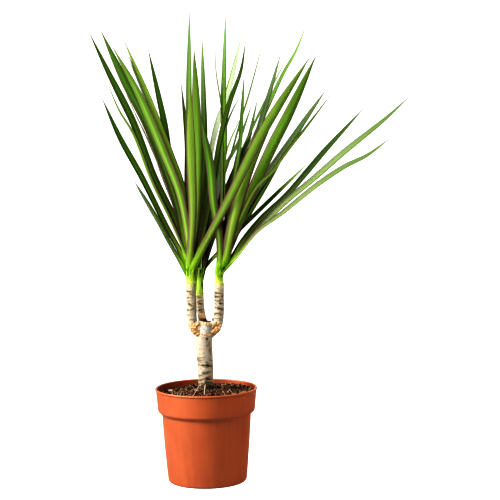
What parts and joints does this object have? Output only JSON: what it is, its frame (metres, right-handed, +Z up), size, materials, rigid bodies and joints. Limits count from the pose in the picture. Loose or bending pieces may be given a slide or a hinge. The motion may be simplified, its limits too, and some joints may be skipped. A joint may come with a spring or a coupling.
{
  "type": "potted dracaena marginata",
  "caption": "Potted dragon tree: a sawn cane with branches, each ending in a crown of long narrow leaves, in a round plastic nursery pot.",
  "frame": {"origin": "centre of the pot's underside, on the surface it stands on", "axes": "+Z up; -Y towards the front, from where the three crowns spread left, middle and right; +X to the right"},
  "size_m": [0.3714, 0.287, 0.5472],
  "materials": {
    "pot": "satin terracotta-orange plastic",
    "soil": "loose fibrous peat",
    "bark": "pale ringed bark",
    "leaf": "smooth leaf with a faint shine"
  },
  "bodies": {
    "root": {"pot": "pot", "soil": "soil", "trunk": "bark", "crown_left": "leaf", "crown_middle": "leaf", "crown_right": "leaf"}
  },
  "joints": []
}
